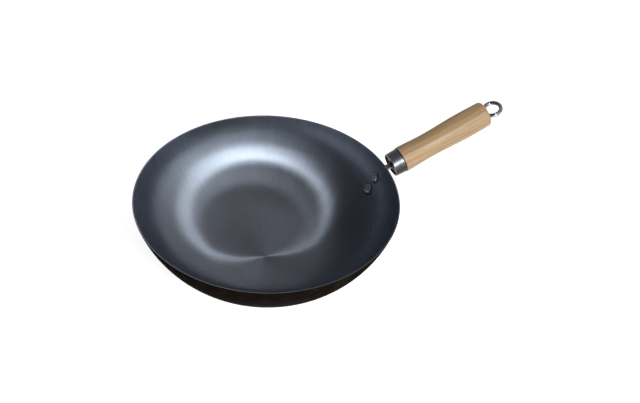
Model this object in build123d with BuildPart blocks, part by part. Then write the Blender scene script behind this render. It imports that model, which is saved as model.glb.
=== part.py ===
from build123d import *
import os
from math import acos, asin, cos, degrees, radians, sin, sqrt, tan

# Carbon steel wok with a turned wooden grip. Millimetres and degrees.
# Origin: centre of the flat base's underside. +Z up, handle towards +X.

# Bowl, pressed and spun from one sheet. From the small flat base outwards it has a short
# turn, a shallow floor, a corner and a wall, each an arc that ends at a slope.
rim_diameter = 310
bowl_height = 98
base_diameter = 54
base_turn_radius = 20
base_turn_slope = 10
floor_radius = 265
floor_slope = 24
corner_radius = 80
corner_slope = 40
sheet = 1.5
rim_round = 0.4

# The handle's line: where the ferrule's front edge is, out from the rim and down from it,
# and how the line rises
handle_standoff = 11
handle_drop = 8
handle_tilt = 17.3

# Ferrule, a drawn steel ring with its front edge rolled in
ferrule_front_diameter = 29.4
ferrule_back_diameter = 30.8
ferrule_length = 14.3
ferrule_wall = 0.8
ferrule_lip = 1
ferrule_round = 0.5

# Grip, turned from wood: distances run along it from the ferrule's back edge
grip_length = 122
grip_recess = 2
shoulder_diameter = 32.3
shoulder_round = 1.2
waist_diameter = 30.3
waist_distance = 30
belly_diameter = 33.2
belly_distance = 93
end_diameter = 32.4
end_round = 4

# Strap: pad on the wall, neck, and tang in the grip
strap = 2.5
pad_lower_radius = 12
pad_upper_radius = 9
neck_width = 7.5
bend_radius = 7
tang_width = 18
tang_shoulder = 4.5
tang_corner = 1
nut_seat_depth = 23
hook_length = 5

# Rivets, placed down along the wall from the strap's bend
rivet_diameter = 5
rivet_below_bend = 7
rivet_pitch = 17.6
head_diameter = 13
head_edge = 0.6
head_height = 2
dish_diameter = 6.4
dish_depth = 1.1
tail_diameter = 10
tail_edge = 0.5
tail_height = 2

# Hanging eye bent from rod, and its nut
rod_diameter = 5.3
eye_diameter = 21.4
eye_bend_radius = 5.5
eye_standoff = 10
rod_chamfer = 0.8
nut_flats = 10
nut_thickness = 5
nut_chamfer = 0.6
tip_past_nut = 3

# Clearances, and how far a cut runs past the face that it leaves by
press_gap = 0.05
seat_gap = 0.1
slide_gap = 0.2
bore_gap = 0.3
overrun = 3


# The bowl's side view is drawn away from the handle, so that the seam of what is spun from
# it stays clear of the rivets
spun_view = Plane(origin=(0, 0, 0), x_dir=(-1, 0, 0), z_dir=(0, 1, 0))


def into_bowl(slope):
    """Direction square to the sheet and into the bowl, where the sheet has this slope."""
    return Vector(-sin(radians(slope)), 0, cos(radians(slope)))


# The bowl's arcs in the side view, X across and Z up: each starts where the last one
# ends, and the wall's is the one that reaches the rim
rim_radius = rim_diameter / 2
base_radius = base_diameter / 2
lower_arcs = []
arc_start = Vector(base_radius, 0, 0)
slope = 0
for radius, end_slope in (
    (base_turn_radius, base_turn_slope),
    (floor_radius, floor_slope),
    (corner_radius, corner_slope),
):
    centre = arc_start + into_bowl(slope) * radius
    lower_arcs.append((centre, radius, slope, end_slope))
    arc_start = centre - into_bowl(end_slope) * radius
    slope = end_slope
rise = Vector(rim_radius, 0, bowl_height) - arc_start
wall_radius = rise.dot(rise) / (2 * rise.dot(into_bowl(slope)))
wall_centre = arc_start + into_bowl(slope) * wall_radius

# The handle's line and the planes that its pieces are drawn on
tilt = radians(handle_tilt)
handle_front = Vector(rim_radius + handle_standoff, 0, bowl_height - handle_drop)
handle_along = Vector(cos(tilt), 0, sin(tilt))
handle_up = Vector(-sin(tilt), 0, cos(tilt))
handle_axis = Axis(handle_front, handle_along)
handle_side_view = Plane(origin=handle_front, x_dir=handle_along, z_dir=(0, -1, 0))
handle_top_view = Plane(origin=handle_front, x_dir=handle_along, z_dir=handle_up)

grip_end = ferrule_length + grip_length
nut_back = nut_seat_depth - press_gap
nut_front = nut_back - nut_thickness
rod_tip = nut_front - tip_past_nut
tang_end = nut_seat_depth + hook_length
eye_centre = grip_end + eye_standoff
eye_radius = eye_diameter / 2
rod_radius = rod_diameter / 2


def handle_section(distance):
    """Plane square to the handle's line, a distance behind the ferrule's front edge."""
    origin = handle_front + handle_along * distance
    return Plane(origin=origin, x_dir=(0, 1, 0), z_dir=handle_along)


def rim_angle(radius):
    """Angle on an arc about the wall's centre where it reaches the rim's height."""
    return degrees(asin((bowl_height - wall_centre.Z) / radius))


def wall_arc(radius, start_angle, stop_angle):
    """Arc about the wall's centre, drawn in the side view."""
    centre = (wall_centre.X, wall_centre.Z)
    return CenterArc(centre, radius, start_angle, stop_angle - start_angle)


def bowl_face(inset):
    """One face of the sheet from the axis to the rim, an inset above its underside."""
    base = Line((0, inset), (base_radius, inset))
    for centre, radius, start_slope, end_slope in lower_arcs:
        middle = (centre.X, centre.Z)
        CenterArc(middle, radius - inset, start_slope - 90, end_slope - start_slope)
    wall_inset = wall_radius - inset
    wall = wall_arc(wall_inset, corner_slope - 90, rim_angle(wall_inset))
    return base @ 0, wall @ 1


def wall_frame(below_rim):
    """Side view on the wall's outer face: local x up the wall, local y into the bowl."""
    angle = radians(rim_angle(wall_radius)) - below_rim / wall_radius
    outward = Vector(cos(angle), 0, sin(angle))
    up_wall = Vector(-sin(angle), 0, cos(angle))
    return Plane(origin=wall_centre + outward * wall_radius, x_dir=up_wall, z_dir=(0, -1, 0))


def facing(frame):
    """Plane flat on the wall at such a side view, its normal into the bowl."""
    return Plane(origin=frame.origin, x_dir=frame.x_dir, z_dir=frame.y_dir)


# The strap lies on the wall. Its middle line meets the handle's line here, and bends
# from one to the other.
strap_inner = wall_radius + seat_gap
strap_outer = strap_inner + strap
strap_middle = strap_inner + strap / 2
to_front = handle_front - wall_centre
foot = handle_front - handle_along * to_front.dot(handle_along)
foot_distance = to_front.dot(handle_up)
meeting = foot + handle_along * sqrt(strap_middle**2 - foot_distance**2)
meeting_angle = degrees(asin((meeting.Z - wall_centre.Z) / strap_middle))
half_turn = (90 + meeting_angle - handle_tilt) / 2
bend_run = bend_radius * tan(radians(half_turn))
bend_angle = meeting_angle - degrees(bend_run / strap_middle)
bend_drop = radians(rim_angle(wall_radius) - bend_angle) * wall_radius

rivet_drop = bend_drop + rivet_below_bend
rivet_frames = [wall_frame(rivet_drop), wall_frame(rivet_drop + rivet_pitch)]
rivet_places = [facing(frame) for frame in rivet_frames]
rivet_hole_radius = rivet_diameter / 2 + press_gap


# Bowl: the sheet's two faces joined at the rim, spun about the upright axis
with BuildPart() as bowl:
    with BuildSketch(spun_view):
        with BuildLine():
            outer_base, outer_rim = bowl_face(0)
            inner_base, inner_rim = bowl_face(sheet)
            Line(outer_rim, inner_rim)
            Line(outer_base, inner_base)
        make_face()
        fillet(vertices().group_by(Axis.Y)[-1], radius=rim_round)
    revolve(axis=Axis.Z)
    with Locations(*rivet_places):
        Cylinder(rivet_hole_radius, 2 * (sheet + overrun), mode=Mode.SUBTRACT)
bowl.part.label = "bowl"


# Strap: its pad follows the wall, its neck bends out onto the handle's line,
# and its tang holds the nut in a T-shaped slot
neck_start_angle = bend_angle - degrees(strap / strap_middle)
pad_drop = rivet_drop + rivet_pitch / 2
pad_middle = wall_frame(pad_drop)
pad_top = pad_drop - bend_drop
tang_start = handle_front + handle_along * tang_shoulder

# The T-shaped slot: a cross window for the nut, and a slot for the rod
window_length = nut_thickness + 2 * slide_gap
window_width = nut_flats + 2 * slide_gap
rod_slot_start = rod_tip - rod_radius
rod_slot_end = tang_end + overrun
rod_slot_width = rod_diameter + 2 * slide_gap

with BuildPart() as handle_bracket:
    with BuildSketch(spun_view):
        with BuildLine():
            inner_arc = wall_arc(strap_inner, corner_slope - 90, rim_angle(strap_inner))
            outer_arc = wall_arc(strap_outer, corner_slope - 90, rim_angle(strap_outer))
            Line(inner_arc @ 0, outer_arc @ 0)
            Line(inner_arc @ 1, outer_arc @ 1)
        make_face()
    revolve(axis=Axis.Z)
    with BuildSketch(facing(pad_middle)):
        with Locations((-rivet_pitch / 2, 0)):
            Circle(pad_lower_radius)
        with Locations((rivet_pitch / 2, 0)):
            Circle(pad_upper_radius)
        make_hull()
        split(bisect_by=Plane(origin=(pad_top, 0), z_dir=(1, 0)), keep=Keep.BOTTOM)
    extrude(amount=pad_lower_radius, both=True, mode=Mode.INTERSECT)
    with BuildSketch(Plane.XZ):
        with BuildLine():
            wall_arc(strap_middle, neck_start_angle, meeting_angle)
            neck = Line((meeting.X, meeting.Z), (tang_start.X, tang_start.Z))
            fillet(neck.vertices().sort_by(Axis.X)[0], radius=bend_radius)
        trace(line_width=strap)
    extrude(amount=neck_width / 2, both=True)
    with BuildSketch(handle_top_view):
        with Locations(((tang_shoulder + tang_end) / 2, 0)):
            RectangleRounded(tang_end - tang_shoulder, tang_width, tang_corner)
        with Locations(((rod_slot_start + rod_slot_end) / 2, 0)):
            Rectangle(rod_slot_end - rod_slot_start, rod_slot_width, mode=Mode.SUBTRACT)
        with Locations((nut_seat_depth - window_length / 2, 0)):
            Rectangle(window_length, window_width, mode=Mode.SUBTRACT)
    extrude(amount=strap / 2, both=True)
    with Locations(*rivet_places):
        Cylinder(rivet_hole_radius, 2 * (strap + overrun), mode=Mode.SUBTRACT)
handle_bracket.part.label = "handle_bracket"


# Rivets: a low head with a dished centre inside the bowl, a closed tail on the strap
head_radius = head_diameter / 2
shank_radius = rivet_diameter / 2
head_seat = sheet + press_gap + head_radius**2 / (2 * wall_radius)
head_top = head_seat + head_height
tail_seat = -(seat_gap + strap + press_gap)
across = (1, 0)

rivets = []
for frame in rivet_frames:
    with BuildPart() as rivet:
        with BuildSketch(frame):
            with BuildLine():
                dish_bottom = (0, head_top - dish_depth)
                dish_edge = (dish_diameter / 2, head_top)
                TangentArc(dish_bottom, dish_edge, tangent=across)
                crown_edge = (head_radius, head_seat + head_edge)
                TangentArc(dish_edge, crown_edge, tangent=across)
                tail_edge_point = (tail_diameter / 2, tail_seat - tail_edge)
                Polyline(
                    crown_edge,
                    (head_radius, head_seat),
                    (shank_radius, head_seat),
                    (shank_radius, tail_seat),
                    (tail_diameter / 2, tail_seat),
                    tail_edge_point,
                )
                tail_top = (0, tail_seat - tail_height)
                TangentArc(tail_top, tail_edge_point, tangent=across)
                Line(tail_top, dish_bottom)
            make_face()
        revolve(axis=Axis(frame.origin, frame.y_dir))
    rivets.append(rivet.part)
rivet_pair = Compound(children=rivets, label="rivets")


# Ferrule: a slightly conical ring, its front edge rolled in over the grip's end
front_radius = ferrule_front_diameter / 2
cone = (ferrule_back_diameter / 2 - front_radius) / ferrule_length


def ferrule_bore(distance):
    """Radius of the ferrule's inside, a distance behind its front edge."""
    return front_radius + cone * distance - ferrule_wall


lip_radius = ferrule_bore(0) - ferrule_lip

with BuildPart() as ferrule:
    with BuildSketch(handle_side_view):
        with BuildLine():
            Polyline(
                (0, lip_radius),
                (0, front_radius),
                (ferrule_length, ferrule_back_diameter / 2),
                (ferrule_length, ferrule_bore(ferrule_length)),
                (ferrule_wall, ferrule_bore(ferrule_wall)),
                (ferrule_wall, lip_radius),
                close=True,
            )
        make_face()
        fillet(vertices().group_by(Axis.X)[0], radius=ferrule_round / 2)
    revolve(axis=handle_axis)
ferrule.part.label = "ferrule"


# The rod's middle line: a straight shank, a short bend to one side, and the eye, whose
# tip closes against the shank
bend_turn = degrees(acos(eye_bend_radius / (eye_radius + eye_bend_radius)))
shank_end = eye_centre - sqrt(eye_radius**2 + 2 * eye_radius * eye_bend_radius)
tip_angle = degrees(asin((rod_radius + slide_gap) / (eye_radius + rod_radius)))

with BuildLine(handle_top_view) as rod_line:
    Line((rod_tip, 0), (shank_end, 0))
    CenterArc((shank_end, -eye_bend_radius), eye_bend_radius, 90, -bend_turn)
    CenterArc((eye_centre, 0), eye_radius, 270 - bend_turn, 270 + bend_turn - tip_angle)


# Grip: turned with a spigot for the ferrule, a waist and a belly. A mortise and a round
# pocket at the front take the tang and the nut, and a bore and a seat take the eye.
spigot_start = ferrule_bore(grip_recess) - press_gap
spigot_end = ferrule_bore(ferrule_length) - press_gap
body_start = ferrule_length + press_gap
shoulder_radius = shoulder_diameter / 2
end_radius = end_diameter / 2
mortise_depth = tang_end + press_gap - grip_recess
pocket_radius = nut_flats / sqrt(3) + slide_gap
pocket_depth = nut_seat_depth + slide_gap - grip_recess

with BuildPart() as grip:
    with BuildSketch(handle_side_view):
        with BuildLine():
            shoulder_foot = (body_start, shoulder_radius - shoulder_round)
            shoulder_top = (body_start + shoulder_round, shoulder_radius)
            end_top = (grip_end - end_round, end_radius)
            end_foot = (grip_end, end_radius - end_round)
            Polyline(
                (grip_recess, 0),
                (grip_recess, spigot_start),
                (ferrule_length, spigot_end),
                (body_start, spigot_end),
                shoulder_foot,
            )
            TangentArc(shoulder_foot, shoulder_top, tangent=(0, 1))
            Spline(
                shoulder_top,
                (ferrule_length + waist_distance, waist_diameter / 2),
                (ferrule_length + belly_distance, belly_diameter / 2),
                end_top,
                tangents=[across, across],
            )
            TangentArc(end_top, end_foot, tangent=across)
            Polyline(end_foot, (grip_end, 0), (grip_recess, 0))
        make_face()
    revolve(axis=handle_axis)
    with BuildSketch(handle_section(grip_recess)):
        Rectangle(tang_width + 2 * slide_gap, strap + 2 * slide_gap)
    extrude(amount=mortise_depth, mode=Mode.SUBTRACT)
    with BuildSketch(handle_section(grip_recess)):
        Circle(pocket_radius)
    extrude(amount=pocket_depth, mode=Mode.SUBTRACT)
    with BuildSketch(handle_section(grip_recess)):
        Circle(rod_radius + bore_gap)
    extrude(amount=grip_length + ferrule_length, mode=Mode.SUBTRACT)
    with BuildSketch(handle_section(rod_tip)):
        Circle(rod_radius + seat_gap)
    sweep(path=rod_line.line, mode=Mode.SUBTRACT)
    with BuildSketch(handle_side_view):
        with Locations((eye_centre - eye_radius, 0)):
            Circle(rod_radius + seat_gap)
    eye_axis = Axis(handle_section(eye_centre).origin, handle_up)
    revolve(axis=eye_axis, mode=Mode.SUBTRACT)
grip.part.label = "grip"


# Hanging eye: rod bent to a closed eye, its straight shank running forward to the nut
with BuildPart() as hanging_eye:
    with BuildSketch(handle_section(rod_tip)):
        Circle(rod_radius)
    sweep(path=rod_line.line)
    tip_edge = hanging_eye.edges().filter_by(GeomType.CIRCLE).sort_by(handle_axis)[0]
    chamfer(tip_edge, length=rod_chamfer)
hanging_eye.part.label = "hanging_eye"


# Nut: a plain hexagon with its corners turned down, its flats against the tang's slot
with BuildPart() as tang_nut:
    with BuildSketch(handle_section(nut_front)):
        Circle(nut_flats / sqrt(3))
    extrude(amount=nut_thickness)
    chamfer(tang_nut.edges().filter_by(GeomType.CIRCLE), length=nut_chamfer)
    with BuildSketch(handle_section(nut_front)):
        RegularPolygon(nut_flats / 2, 6, major_radius=False, rotation=30)
        Circle(rod_radius + press_gap, mode=Mode.SUBTRACT)
    extrude(amount=nut_thickness, mode=Mode.INTERSECT)
tang_nut.part.label = "tang_nut"


os.makedirs("parts", exist_ok=True)
export_step(bowl.part, "parts/bowl.step")
export_step(handle_bracket.part, "parts/handle_bracket.step")
export_step(rivet_pair, "parts/rivets.step")
export_step(ferrule.part, "parts/ferrule.step")
export_step(grip.part, "parts/grip.step")
export_step(hanging_eye.part, "parts/hanging_eye.step")
export_step(tang_nut.part, "parts/tang_nut.step")
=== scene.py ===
import math

import bpy
import numpy as np
from mathutils import Matrix, Vector

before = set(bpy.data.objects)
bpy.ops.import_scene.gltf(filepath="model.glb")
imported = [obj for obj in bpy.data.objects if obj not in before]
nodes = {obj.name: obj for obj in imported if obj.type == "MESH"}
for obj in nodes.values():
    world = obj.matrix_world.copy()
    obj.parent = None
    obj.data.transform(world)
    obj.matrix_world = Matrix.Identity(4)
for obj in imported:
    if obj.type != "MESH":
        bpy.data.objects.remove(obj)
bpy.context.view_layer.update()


# Camera: stands above and in front of the bowl, to the left of the handle, and looks
# down at about forty degrees. A long lens, tipped a little to one side.
camera_place = Vector((-0.4617, -0.9414, 1.0278))
camera_look = Vector((0.3679, 0.6503, -0.6647))
camera_roll = math.radians(3.79)
camera_sensor, camera_lens = 36.0, 67.89

camera_data = bpy.data.cameras.new("camera")
camera_data.sensor_width = camera_sensor
camera_data.lens = camera_lens
camera = bpy.data.objects.new("camera", camera_data)
bpy.context.scene.collection.objects.link(camera)
camera_turn = camera_look.to_track_quat("-Z", "Y").to_matrix() @ Matrix.Rotation(camera_roll, 3, "Z")
camera.matrix_world = Matrix.Translation(camera_place) @ camera_turn.to_4x4()
bpy.context.scene.camera = camera


# Bowl: one sheet of carbon steel, pressed and spun. Inside it is bare and brushed from the
# middle outwards, so a light shows as a ring that runs through the middle. Outside it has a
# thin dark brown coat, and the cut rim is bare.
bowl_height = 0.098
millimetre = 0.001
spun_slopes = (
    (0, 4.3), (12, 4.1), (24, 4.1), (36, 5.1), (48, 7.5), (57, 9.7), (65, 12.8),
    (73, 18.3), (81, 23.3), (90, 28.4), (100, 33.9), (110, 39.5), (120, 46.0), (130, 55.0),
)
spun_reach = 0.130
wall_start = 0.112
wall_arc_middle = (0.0220, 0, 0.1372)
rivet_angles = (math.radians(25.85), math.radians(33.12))
facing_height = bowl_height * 1.4
facing_edge = 0.002
marks_round, marks_along = 34.0, 30.0
broad_share, fine_share = 0.55, 0.45
mark_depth = 0.0005
cloud_cells, fleck_cells = 16.0, 90.0
steel_roughnesses = (0.36, 0.41)
coat_roughnesses = (0.6, 0.75)
# Painted shade round the rivets: where it starts and ends, as distances from a rivet's axis, and its share
rivet_shade_start, rivet_shade_end, rivet_shade_share = 0.0066, 0.0080, 0.85
steel_colour = (0.283, 0.306, 0.364, 1)
steel_dark_colour = (0.224, 0.240, 0.284, 1)
# Colour of the painted shade round the rivets
rivet_shade_colour = (0.022, 0.021, 0.022, 1)
coat_colour = (0.0100, 0.0063, 0.0048, 1)
coat_worn_colour = (0.020, 0.0133, 0.0103, 1)


def add(tree, kind, joined=None, **settings):
    """One shader node. joined holds its inputs by name or number, each a value or a socket to link."""
    node = tree.nodes.new(kind)
    for name, value in settings.items():
        setattr(node, name, value)
    for name, value in (joined or {}).items():
        if isinstance(value, bpy.types.NodeSocket):
            tree.links.new(value, node.inputs[name])
        else:
            node.inputs[name].default_value = value
    return node


def maths(tree, operation, first, second=0.0, third=0.0):
    """The output of a Math node of this operation on two or three values."""
    return add(tree, "ShaderNodeMath", {0: first, 1: second, 2: third}, operation=operation).outputs[0]


def vector_maths(tree, operation, first, second=(0, 0, 0), output="Vector"):
    """The output of a Vector Math node of this operation on two vectors."""
    return add(tree, "ShaderNodeVectorMath", {0: first, 1: second}, operation=operation).outputs[output]


def blend(tree, share, first, second):
    """Colour that goes from the first to the second as share goes from 0 to 1."""
    mix = add(tree, "ShaderNodeMix", data_type="RGBA")
    for socket, value in ((mix.inputs[0], share), (mix.inputs[6], first), (mix.inputs[7], second)):
        if isinstance(value, bpy.types.NodeSocket):
            tree.links.new(value, socket)
        else:
            socket.default_value = value
    return mix.outputs[2]


def spread(tree, value, low, high, new_low=0.0, new_high=1.0):
    """The value's range from low to high stretched to new_low to new_high, and held there beyond."""
    joined = {"Value": value, "From Min": low, "From Max": high, "To Min": new_low, "To Max": new_high}
    return add(tree, "ShaderNodeMapRange", joined).outputs["Result"]


def noise(tree, vector, scale, detail=2.0, roughness=0.5):
    """Value noise from 0 to 1 at this many cells to a unit of the vector."""
    joined = {"Vector": vector, "Scale": scale, "Detail": detail, "Roughness": roughness}
    return add(tree, "ShaderNodeTexNoise", joined).outputs[0]


def finish(name):
    """A new material with its node tree, its surface shader and the piece's own coordinates."""
    material = bpy.data.materials.new(name)
    material.use_nodes = True
    tree = material.node_tree
    surface = tree.nodes["Principled BSDF"]
    place = add(tree, "ShaderNodeTexCoord")
    return material, tree, surface, place


def dress(node, material):
    """Gives a CAD node this material over all its faces."""
    mesh = nodes[node].data
    mesh.materials.clear()
    mesh.materials.append(material)


def rivet_distance():
    """Group for the places near the rivets. Both axes run through the middle of the wall's arc, so
    the distance from one is the length of the cross product of its direction and the way there."""
    group = bpy.data.node_groups.new("rivet_distance", "ShaderNodeTree")
    group.interface.new_socket(name="Vector", in_out="INPUT", socket_type="NodeSocketVector")
    group.interface.new_socket(name="Distance", in_out="OUTPUT", socket_type="NodeSocketFloat")
    way = vector_maths(group, "SUBTRACT", add(group, "NodeGroupInput").outputs["Vector"], wall_arc_middle)
    upper, lower = (
        vector_maths(
            group,
            "LENGTH",
            vector_maths(group, "CROSS_PRODUCT", way, (-math.cos(angle), 0, math.sin(angle))),
            output="Value",
        )
        for angle in rivet_angles
    )
    add(group, "NodeGroupOutput", {"Distance": maths(group, "MINIMUM", upper, lower)})
    return group


rivet_group = rivet_distance()


def from_rivets(tree, position):
    """Distance from the nearer rivet's axis."""
    return add(tree, "ShaderNodeGroup", {"Vector": position}, node_tree=rivet_group).outputs["Distance"]


bowl_finish, tree, surface, place = finish("bowl_steel")
position = place.outputs["Object"]

# Places in the bowl: distance from the axis, and the direction from it
flat = vector_maths(tree, "MULTIPLY", position, (1, 1, 0))
distance = vector_maths(tree, "LENGTH", flat, output="Value")
direction = vector_maths(tree, "NORMALIZE", flat)

# Inside or outside: whether the face looks towards a point above the bowl's middle
to_middle = vector_maths(tree, "SUBTRACT", (0, 0, facing_height), position)
facing_in = vector_maths(tree, "DOT_PRODUCT", place.outputs["Normal"], to_middle, output="Value")
inside = spread(tree, facing_in, -facing_edge, facing_edge)

# Brush marks: noise on the side of a cylinder, round it with the direction and up it with the
# distance, so that it is drawn out along the wall
up_side = maths(tree, "MULTIPLY", distance, marks_along)
up_side = add(tree, "ShaderNodeCombineXYZ", {"Z": up_side}).outputs[0]
round_side = vector_maths(tree, "MULTIPLY", direction, (marks_round, marks_round, 0))
mark_place = vector_maths(tree, "ADD", round_side, up_side)
broad_marks = noise(tree, mark_place, 1.0, detail=3.0, roughness=0.6)
fine_marks = noise(tree, mark_place, 5.0, detail=2.0, roughness=0.6)
clouds = noise(tree, position, cloud_cells, detail=3.0)
mark = maths(tree, "MULTIPLY", broad_marks, broad_share)
mark = maths(tree, "MULTIPLY_ADD", fine_marks, fine_share, mark)

# Colours: marks and clouds on the bare steel, painted shade round the rivets, flecks on the coat
brightness = spread(tree, maths(tree, "ADD", mark, clouds), 0.75, 1.25)
steel = blend(tree, brightness, steel_dark_colour, steel_colour)
# Painted shade: the steel goes dark in a ring just outside each rivet head
rivet_shade = spread(tree, from_rivets(tree, position), rivet_shade_start, rivet_shade_end, rivet_shade_share, 0.0)
steel = blend(tree, rivet_shade, steel, rivet_shade_colour)
flecks = noise(tree, position, fleck_cells, detail=5.0)
coat = blend(tree, spread(tree, flecks, 0.45, 0.7), coat_colour, coat_worn_colour)
tree.links.new(blend(tree, inside, coat, steel), surface.inputs["Base Color"])
tree.links.new(inside, surface.inputs["Metallic"])

# Gloss: the steel's is drawn out round the bowl, across its marks
steel_roughness = spread(tree, mark, 0.3, 0.7, *steel_roughnesses)
coat_roughness = spread(tree, clouds, 0.3, 0.7, *coat_roughnesses)
roughness = add(tree, "ShaderNodeMix", {0: inside, 2: coat_roughness, 3: steel_roughness}).outputs[0]
tree.links.new(roughness, surface.inputs["Roughness"])
surface.inputs["Specular IOR Level"].default_value = 0.001
surface.inputs["Anisotropic"].default_value = 1.0
around = add(tree, "ShaderNodeTangent", direction_type="RADIAL", axis="Z").outputs[0]
tree.links.new(around, surface.inputs["Tangent"])

# Slopes: the inside leans as spinning left it, in degrees at a distance in millimetres. The
# solid's arcs lie within about two millimetres of that, and take over at the wall.
steepest = math.tan(math.radians(spun_slopes[-1][1]))
spun = add(tree, "ShaderNodeFloatCurve", {"Value": maths(tree, "DIVIDE", distance, spun_reach)})
curve = spun.mapping.curves[0]
curve.points[0].location = (0, math.tan(math.radians(spun_slopes[0][1])) / steepest)
for at, slope in spun_slopes[1:-1]:
    curve.points.new(at * millimetre / spun_reach, math.tan(math.radians(slope)) / steepest)
spun.mapping.update()
lean = maths(tree, "MULTIPLY", spun.outputs[0], -steepest)
spun_normal = vector_maths(tree, "ADD", vector_maths(tree, "MULTIPLY", direction, lean), (0, 0, 1))
spun_normal = vector_maths(tree, "NORMALIZE", spun_normal)
spun_share = maths(tree, "MULTIPLY", inside, spread(tree, distance, wall_start, spun_reach, 1.0, 0.0))
normal = blend(tree, spun_share, place.outputs["Normal"], spun_normal)
joined = {"Strength": 0.1, "Distance": mark_depth, "Height": fine_marks, "Normal": normal}
bump = add(tree, "ShaderNodeBump", joined)
tree.links.new(bump.outputs[0], surface.inputs["Normal"])
dress("bowl", bowl_finish)


# Handle bracket: a strip of zinc plated steel, with a pad under the two rivets, a narrow neck
# and a tang that is let into the grip. The nut in the tang's slot has the same plating.
zinc_colour = (0.44, 0.445, 0.46, 1)
zinc_dark_colour = (0.24, 0.24, 0.25, 1)
zinc_roughnesses = (0.5, 0.34)
zinc_cells, zinc_scratch = 260.0, 0.00005
# Dark oily brown, for burnt oil and also for painted shade on the rivet heads and under the ferrule
oil_and_shade_colour = (0.045, 0.034, 0.028, 1)
worn_corner = 0.0006


def rubbed_metal():
    """Group for bare metal that hands and cloths rub. Clouds of noise choose between a dull and a
    bright colour and roughness, scratches, noise drawn out along X, cross them, and on edges,
    where the normal of a rounded corner leaves the face's own, the bright ones win. Oil And Shade
    is the share of a dark oily brown over them, used for burnt oil and for painted shade."""
    group = bpy.data.node_groups.new("rubbed_metal", "ShaderNodeTree")
    sockets = (
        ("Vector", "INPUT", "NodeSocketVector"),
        ("Cells", "INPUT", "NodeSocketFloat"),
        ("Dull Colour", "INPUT", "NodeSocketColor"),
        ("Bright Colour", "INPUT", "NodeSocketColor"),
        ("Dull Roughness", "INPUT", "NodeSocketFloat"),
        ("Bright Roughness", "INPUT", "NodeSocketFloat"),
        ("Oil And Shade", "INPUT", "NodeSocketFloat"),
        ("Colour", "OUTPUT", "NodeSocketColor"),
        ("Roughness", "OUTPUT", "NodeSocketFloat"),
        ("Height", "OUTPUT", "NodeSocketFloat"),
    )
    for name, side, kind in sockets:
        group.interface.new_socket(name=name, in_out=side, socket_type=kind)
    given = add(group, "NodeGroupInput").outputs
    clouds = noise(group, given["Vector"], given["Cells"], detail=3.0)
    drawn = vector_maths(group, "MULTIPLY", given["Vector"], (0.08, 1, 1))
    scratches = noise(group, drawn, maths(group, "MULTIPLY", given["Cells"], 6.0), detail=1.0)
    rounded = add(group, "ShaderNodeBevel", {"Radius": worn_corner}, samples=4).outputs[0]
    faced = add(group, "ShaderNodeNewGeometry").outputs["Normal"]
    turned = vector_maths(group, "DOT_PRODUCT", rounded, faced, output="Value")
    edges = spread(group, turned, 0.995, 0.95, 0.0, 0.6)
    shine = maths(group, "ADD", spread(group, clouds, 0.35, 0.65, 0.0, 0.75), edges)
    shine = maths(group, "ADD", shine, spread(group, scratches, 0.3, 0.7, -0.15, 0.25))
    colour = blend(group, shine, given["Dull Colour"], given["Bright Colour"])
    colour = blend(group, given["Oil And Shade"], colour, oil_and_shade_colour)
    joined = {0: shine, 2: given["Dull Roughness"], 3: given["Bright Roughness"]}
    roughness = add(group, "ShaderNodeMix", joined).outputs[0]
    add(group, "NodeGroupOutput", {"Colour": colour, "Roughness": roughness, "Height": scratches})
    return group


metal_group = rubbed_metal()


def rub(tree, surface, vector, cells, colours, roughnesses, depth, oil_and_shade=0.0):
    """Places the rubbed metal group on this shader. Colours and roughnesses are dull and bright
    ones, and depth is the scratches' own."""
    joined = {"Vector": vector, "Cells": cells, "Dull Colour": colours[0], "Bright Colour": colours[1]}
    joined |= {"Dull Roughness": roughnesses[0], "Bright Roughness": roughnesses[1], "Oil And Shade": oil_and_shade}
    metal = add(tree, "ShaderNodeGroup", joined, node_tree=metal_group)
    tree.links.new(metal.outputs["Colour"], surface.inputs["Base Color"])
    tree.links.new(metal.outputs["Roughness"], surface.inputs["Roughness"])
    joined = {"Strength": 0.3, "Distance": depth, "Height": metal.outputs["Height"]}
    bump = add(tree, "ShaderNodeBump", joined)
    tree.links.new(bump.outputs[0], surface.inputs["Normal"])
    surface.inputs["Metallic"].default_value = 1.0


bracket_finish, tree, surface, place = finish("zinc_plate")
position = place.outputs["Object"]
rub(tree, surface, position, zinc_cells, (zinc_dark_colour, zinc_colour), zinc_roughnesses, zinc_scratch)
dress("handle_bracket", bracket_finish)
dress("tang_nut", bracket_finish)


# Rivets: two satin steel rivets with low dished heads inside the bowl and closed tails on the
# bracket's pad.
head_radius = 0.0065
# Painted shade on the heads' outer edges, from this distance to that one from a rivet's axis
head_shade_start, head_shade_end = head_radius - 0.0009, head_radius - 0.0001
rivet_colour = (0.90, 0.91, 0.94, 1)
rivet_dark_colour = (0.25, 0.254, 0.27, 1)
rivet_roughnesses = (0.2, 0.12)
rivet_cells, rivet_scratch = 300.0, 0.00003

rivet_finish, tree, surface, place = finish("satin_steel")
position = place.outputs["Object"]
# Painted shade: each head darkens towards its edge, in the dark oily brown
oil_and_shade = spread(tree, from_rivets(tree, position), head_shade_start, head_shade_end, 0.0, 0.9)
colours = (rivet_dark_colour, rivet_colour)
rub(tree, surface, position, rivet_cells, colours, rivet_roughnesses, rivet_scratch, oil_and_shade)
dress("rivets", rivet_finish)


# Ferrule: a drawn ring of polished steel over the grip's front, its edge rolled in. Burnt oil has darkened
# its joint with the wood, and its underside is darkened as painted shade.
handle_front = (0.166, 0, 0.090)
handle_tilt = math.radians(17.3)
ferrule_length = 0.0143
joint_far, joint_near = 0.0012, 0.0004
# Painted shade under the ferrule: it runs from this height above the handle's line down to that one
underside_shade_top, underside_shade_bottom = 0.0125, 0.002
polished_colour = (0.235, 0.25, 0.28, 1)
polished_dark_colour = (0.13, 0.132, 0.142, 1)
polished_roughnesses = (0.38, 0.3)
polished_cells, polished_scratch = 220.0, 0.00003


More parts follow.
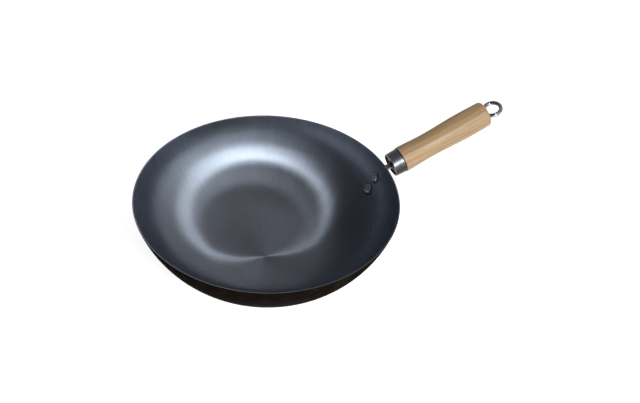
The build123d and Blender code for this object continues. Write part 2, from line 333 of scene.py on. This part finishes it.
def along_handle(tree, place):
    """Object coordinates turned to the handle: X along it from the ferrule's front, Z up from its line."""
    joined = {"Vector": place.outputs["Object"], "Location": handle_front, "Rotation": (0, -handle_tilt, 0)}
    return add(tree, "ShaderNodeMapping", joined, vector_type="TEXTURE").outputs[0]


ferrule_finish, tree, surface, place = finish("polished_steel")
position = along_handle(tree, place)
parts = add(tree, "ShaderNodeSeparateXYZ", {0: position}).outputs
joint = spread(tree, parts["X"], ferrule_length - joint_far, ferrule_length - joint_near)
# Burnt oil at the joint with the wood, and painted shade that grows darker towards the underside
oil_and_shade = maths(tree, "MAXIMUM", joint, spread(tree, parts["Z"], underside_shade_top, underside_shade_bottom, 0.0, 0.95))
colours = (polished_dark_colour, polished_colour)
rub(tree, surface, position, polished_cells, colours, polished_roughnesses, polished_scratch, oil_and_shade)
dress("ferrule", ferrule_finish)


# Grip: turned from pale straight-grained wood, sanded, with a thin clear lacquer. Oil has
# crept into the wood next to the ferrule.
wood_pale_colour = (0.55, 0.355, 0.188, 1)
wood_dark_colour = (0.40, 0.235, 0.105, 1)
wood_fleck_colour = (0.30, 0.17, 0.075, 1)
wood_joint_colour = (0.06, 0.035, 0.02, 1)
wood_roughnesses = (0.55, 0.42)
lacquer_weight, lacquer_roughness = 0.3, 0.28
from_heart = (0, 0.045, 0.03)
fibre_depth = 0.0003

grip_finish, tree, surface, place = finish("turned_wood")
position = along_handle(tree, place)

# Grain: the tree's rings, streaks and fibres, all drawn out along the grip, and dark pores
heart = vector_maths(tree, "MULTIPLY", vector_maths(tree, "ADD", position, from_heart), (0.25, 1, 1))
joined = {"Vector": heart, "Scale": 60.0, "Distortion": 6.0, "Detail": 2.0, "Detail Scale": 0.6}
rings = add(tree, "ShaderNodeTexWave", joined, wave_type="RINGS", rings_direction="X").outputs[1]
streak_place = vector_maths(tree, "MULTIPLY", position, (7, 110, 110))
fibre_place = vector_maths(tree, "MULTIPLY", position, (14, 420, 420))
pore_place = vector_maths(tree, "MULTIPLY", position, (130, 1300, 1300))
streaks = noise(tree, streak_place, 1.0, detail=2.0)
fibre = noise(tree, fibre_place, 1.0, detail=3.0, roughness=0.6)
pores = noise(tree, pore_place, 1.0, detail=1.0)
grain = maths(tree, "MULTIPLY_ADD", rings, 0.14, maths(tree, "MULTIPLY", streaks, 0.6))
grain = maths(tree, "MULTIPLY_ADD", fibre, 0.45, grain)
wood = blend(tree, spread(tree, grain, 0.42, 0.76), wood_dark_colour, wood_pale_colour)
wood = blend(tree, spread(tree, pores, 0.62, 0.72, 0.0, 0.5), wood, wood_fleck_colour)
along = add(tree, "ShaderNodeSeparateXYZ", {0: position}).outputs["X"]
joint = spread(tree, along, ferrule_length + joint_far, ferrule_length + joint_near, 0.0, 0.8)
wood = blend(tree, joint, wood, wood_joint_colour)
tree.links.new(wood, surface.inputs["Base Color"])
tree.links.new(spread(tree, fibre, 0.3, 0.7, *wood_roughnesses), surface.inputs["Roughness"])
surface.inputs["Coat Weight"].default_value = lacquer_weight
surface.inputs["Coat Roughness"].default_value = lacquer_roughness
bump = add(tree, "ShaderNodeBump", {"Strength": 0.15, "Distance": fibre_depth, "Height": fibre})
tree.links.new(bump.outputs[0], surface.inputs["Normal"])
dress("grip", grip_finish)


# Hanging eye: polished steel rod, bent to a closed eye behind the grip. Its shank runs through
# the whole grip and is screwed into the nut.
rod_colour = (0.46, 0.475, 0.52, 1)
rod_dark_colour = (0.24, 0.245, 0.265, 1)
rod_roughnesses = (0.14, 0.06)
rod_cells, rod_scratch = 300.0, 0.00002

eye_finish, tree, surface, place = finish("polished_rod")
position = along_handle(tree, place)
rub(tree, surface, position, rod_cells, (rod_dark_colour, rod_colour), rod_roughnesses, rod_scratch)
dress("hanging_eye", eye_finish)


# Floor: plain pale paper. It is white to the camera and in the steel, and keeps the bowl's
# soft shadow.
floor_reach = 6.0
floor_gap = 0.0002
floor_grey = 0.75
floor_glow = 0.85

floor_mesh = bpy.data.meshes.new("floor")
corners = np.array([(-1, -1), (1, -1), (1, 1), (-1, 1)]) * floor_reach
corners = np.column_stack((corners, np.full(4, -floor_gap)))
floor_mesh.from_pydata(corners.tolist(), [], [(0, 1, 2, 3)])
floor = bpy.data.objects.new("floor", floor_mesh)
bpy.context.scene.collection.objects.link(floor)

floor_finish = bpy.data.materials.new("floor_paper")
floor_finish.use_nodes = True
tree = floor_finish.node_tree
tree.nodes.clear()
paper = add(tree, "ShaderNodeBsdfDiffuse", {"Color": (floor_grey, floor_grey, floor_grey, 1)})
glow = add(tree, "ShaderNodeEmission", {"Color": (1, 1, 1, 1), "Strength": floor_glow})
lit = add(tree, "ShaderNodeAddShader", {0: paper.outputs[0], 1: glow.outputs[0]})
seen = add(tree, "ShaderNodeLightPath")
shown = maths(tree, "MAXIMUM", seen.outputs["Is Camera Ray"], seen.outputs["Is Glossy Ray"])
shown = maths(tree, "MAXIMUM", shown, seen.outputs["Is Transmission Ray"])
mix = add(tree, "ShaderNodeMixShader", {0: shown, 1: paper.outputs[0], 2: lit.outputs[0]})

# From below it isn't there, so that the base can be seen
below = add(tree, "ShaderNodeNewGeometry").outputs["Backfacing"]
clear = add(tree, "ShaderNodeBsdfTransparent")
mix = add(tree, "ShaderNodeMixShader", {0: below, 1: mix.outputs[0], 2: clear.outputs[0]})
add(tree, "ShaderNodeOutputMaterial", {0: mix.outputs[0]})
floor_mesh.materials.append(floor_finish)


# Room: white to the camera. The steel sees paper a little way up all round, and above it a dim
# room that grows lighter towards a wide soft light on the handle's side.
sweep_top = 0.10
room_light_way = Vector((0.853, 0.150, 0.500))
room_light_strength = 0.56
room_dark_strength = 0.07

world = bpy.data.worlds.new("room")
bpy.context.scene.world = world
world.use_nodes = True
tree = world.node_tree
tree.nodes.clear()
way = add(tree, "ShaderNodeTexCoord").outputs["Generated"]
to_light = vector_maths(tree, "DOT_PRODUCT", way, room_light_way, output="Value")
level = spread(tree, to_light, 0.0, 1.0, room_dark_strength, room_light_strength)
room = add(tree, "ShaderNodeBackground", {"Color": (1, 1, 1, 1), "Strength": level})
white = add(tree, "ShaderNodeBackground", {"Color": (1, 1, 1, 1), "Strength": 1.0})
height = add(tree, "ShaderNodeSeparateXYZ", {0: way}).outputs["Z"]
sweep = spread(tree, height, sweep_top, 0.0)
seen = add(tree, "ShaderNodeLightPath")
shown = maths(tree, "MAXIMUM", seen.outputs["Is Glossy Ray"], seen.outputs["Is Transmission Ray"])
shown = maths(tree, "MAXIMUM", maths(tree, "MULTIPLY", shown, sweep), seen.outputs["Is Camera Ray"])
mix = add(tree, "ShaderNodeMixShader", {0: shown, 1: room.outputs[0], 2: white.outputs[0]})
add(tree, "ShaderNodeOutputWorld", {0: mix.outputs[0]})


# Lamps: a round soft key lamp in front with a small one beside it, which draw the ring in the
# bowl, a wide one higher up, and three low ones in front, on the right and on the left.
lamp_colour = (0.925, 0.99, 1.0)
lamp_reach = 2.5


def softbox(name, azimuth, elevation, width, height, watts):
    """An area lamp at this azimuth and elevation from the bowl, in degrees, facing it."""
    a, e = math.radians(azimuth), math.radians(elevation)
    towards = Vector((math.cos(e) * math.cos(a), math.cos(e) * math.sin(a), math.sin(e)))
    data = bpy.data.lights.new(name, "AREA")
    data.shape = "ELLIPSE"
    data.size, data.size_y, data.energy = width, height, watts
    data.color = lamp_colour
    lamp = bpy.data.objects.new(name, data)
    lamp.location = Vector((0, 0, bowl_height)) + towards * lamp_reach
    lamp.rotation_euler = towards.to_track_quat("Z", "Y").to_euler()
    bpy.context.scene.collection.objects.link(lamp)


softbox("key_lamp", 271.1, 30.8, 0.71, 0.72, 27.5)
softbox("spot_lamp", 262.4, 37.4, 0.21, 0.22, 9.6)
softbox("high_lamp", 290.0, 51.8, 1.03, 0.96, 6.2)
softbox("low_lamp", 269.7, 15.0, 1.47, 0.74, 6.1)
softbox("right_lamp", 319.8, 12.4, 0.75, 1.09, 4.6)
softbox("left_lamp", 184.9, 3.0, 2.2, 0.34, 2.2)

bpy.context.scene.view_settings.view_transform = "Standard"
